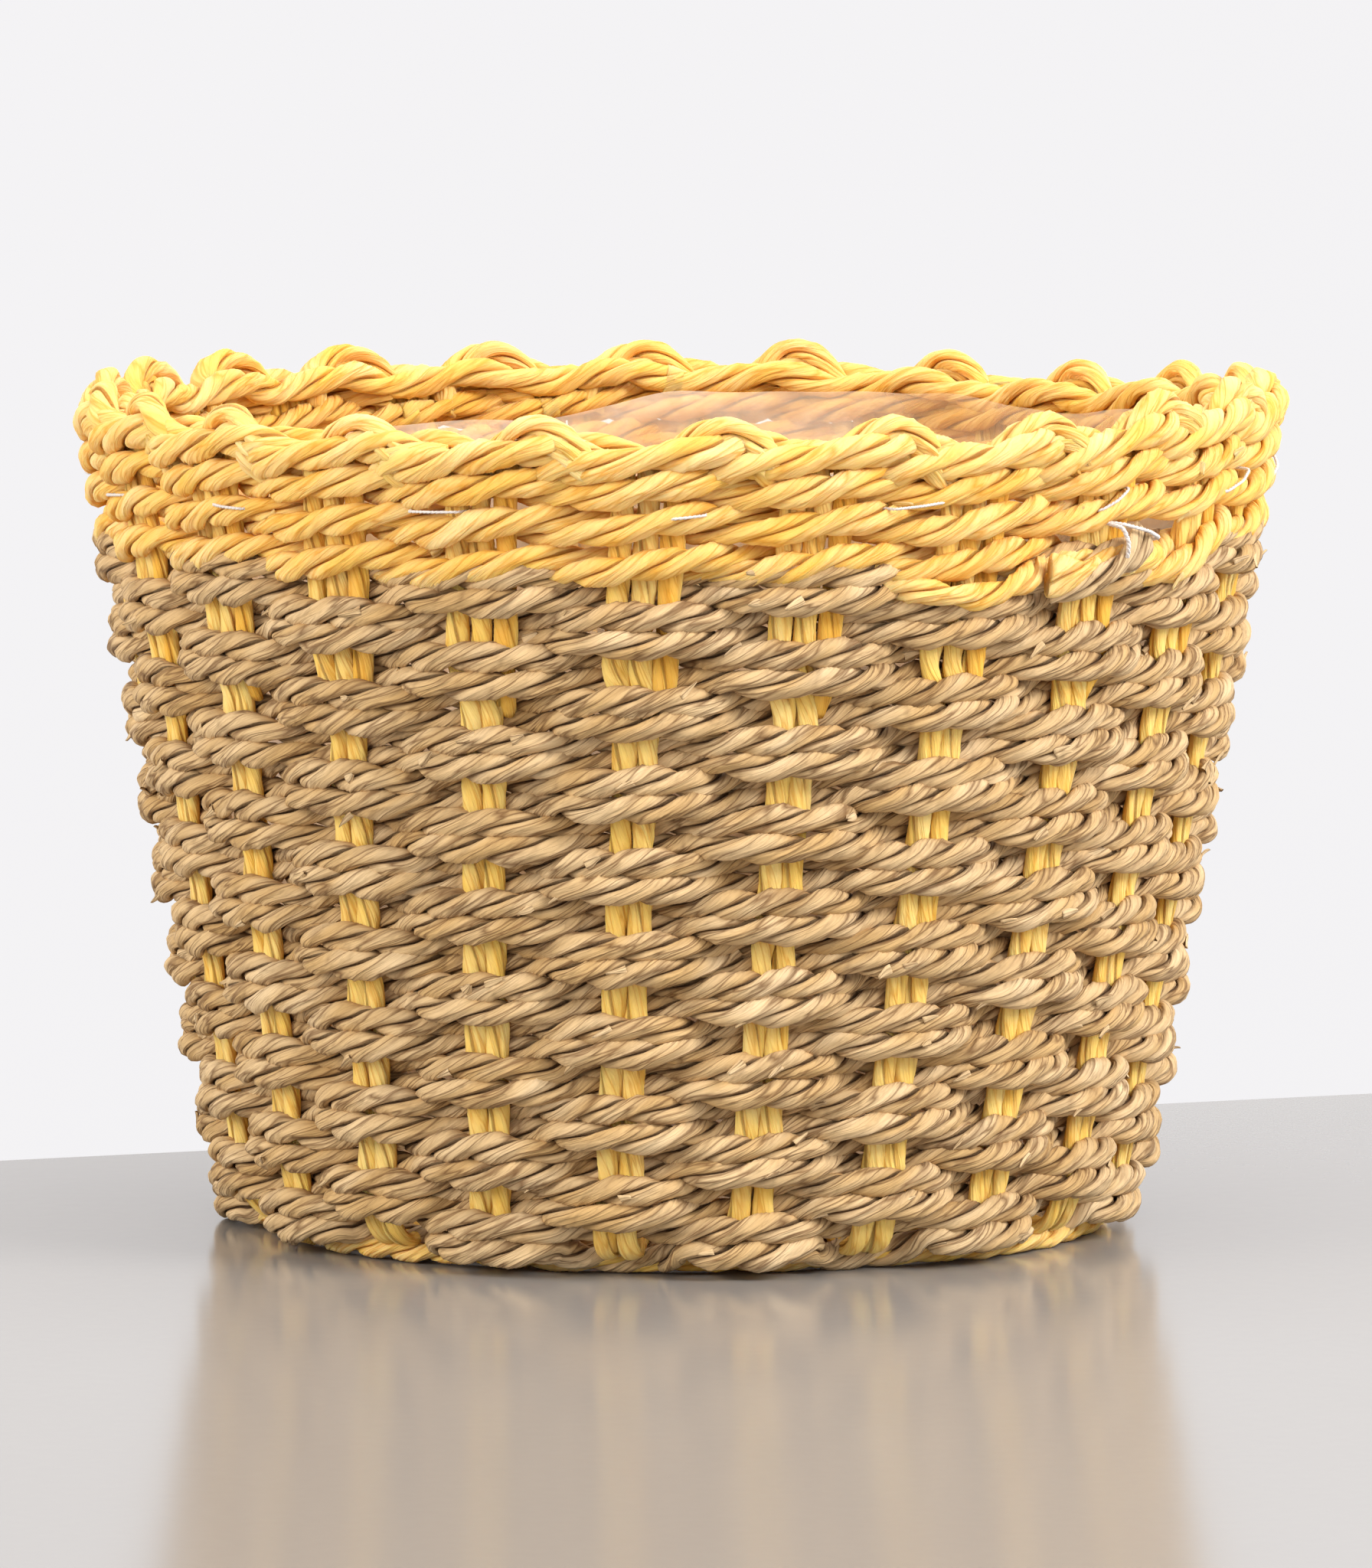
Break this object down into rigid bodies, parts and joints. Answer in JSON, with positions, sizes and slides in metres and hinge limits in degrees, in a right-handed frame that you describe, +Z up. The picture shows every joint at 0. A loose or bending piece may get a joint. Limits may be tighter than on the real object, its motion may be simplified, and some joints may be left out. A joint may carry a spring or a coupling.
{
  "type": "easter basket",
  "caption": "Round tapered open basket plain-woven from twisted tan and yellow paper cord, with a twined yellow band, scalloped border and film liner.",
  "frame": {"origin": "on the ground under the middle of the basket", "axes": "+Z up, front towards -Y, +X to the right seen from the front"},
  "size_m": [0.252, 0.2516, 0.174],
  "materials": {
    "yellow_cord": "matt twisted paper cord, creased along the cord",
    "tan_cord": "matt twisted paper cord, creased along the cord",
    "clear_film": "thin frosted film",
    "white_thread": "spun sewing thread"
  },
  "bodies": {
    "root": {"spoke_01": "yellow_cord", "spoke_02": "yellow_cord", "spoke_03": "yellow_cord", "spoke_04": "yellow_cord", "spoke_05": "yellow_cord", "spoke_06": "yellow_cord", "spoke_07": "yellow_cord", "spoke_08": "yellow_cord", "spoke_09": "yellow_cord", "spoke_10": "yellow_cord", "spoke_11": "yellow_cord", "tan_round_01": "tan_cord", "tan_round_02": "tan_cord", "tan_round_03": "tan_cord", "tan_round_04": "tan_cord", "tan_round_05": "tan_cord", "tan_round_06": "tan_cord", "tan_round_07": "tan_cord", "tan_round_08": "tan_cord", "tan_round_09": "tan_cord", "tan_round_10": "tan_cord", "tan_round_11": "tan_cord", "tan_round_12": "tan_cord", "tan_round_13": "tan_cord", "tan_round_14": "tan_cord", "tan_round_15": "tan_cord", "tan_round_16": "tan_cord", "tan_round_17": "tan_cord", "twine_1_lead": "yellow_cord", "twine_1_follow": "yellow_cord", "twine_2_lead": "yellow_cord", "twine_2_follow": "yellow_cord", "twine_3_lead": "yellow_cord", "twine_3_follow": "yellow_cord", "border_strands": "yellow_cord", "border_arches": "yellow_cord", "border_inner_ring": "yellow_cord", "base_round_1": "tan_cord", "base_round_2": "tan_cord", "base_round_3": "tan_cord", "foot_rope": "yellow_cord", "film_liner": "clear_film", "liner_stitches": "white_thread", "splice_end": "yellow_cord", "tan_tail": "tan_cord", "tail_tie": "white_thread"}
  },
  "joints": []
}
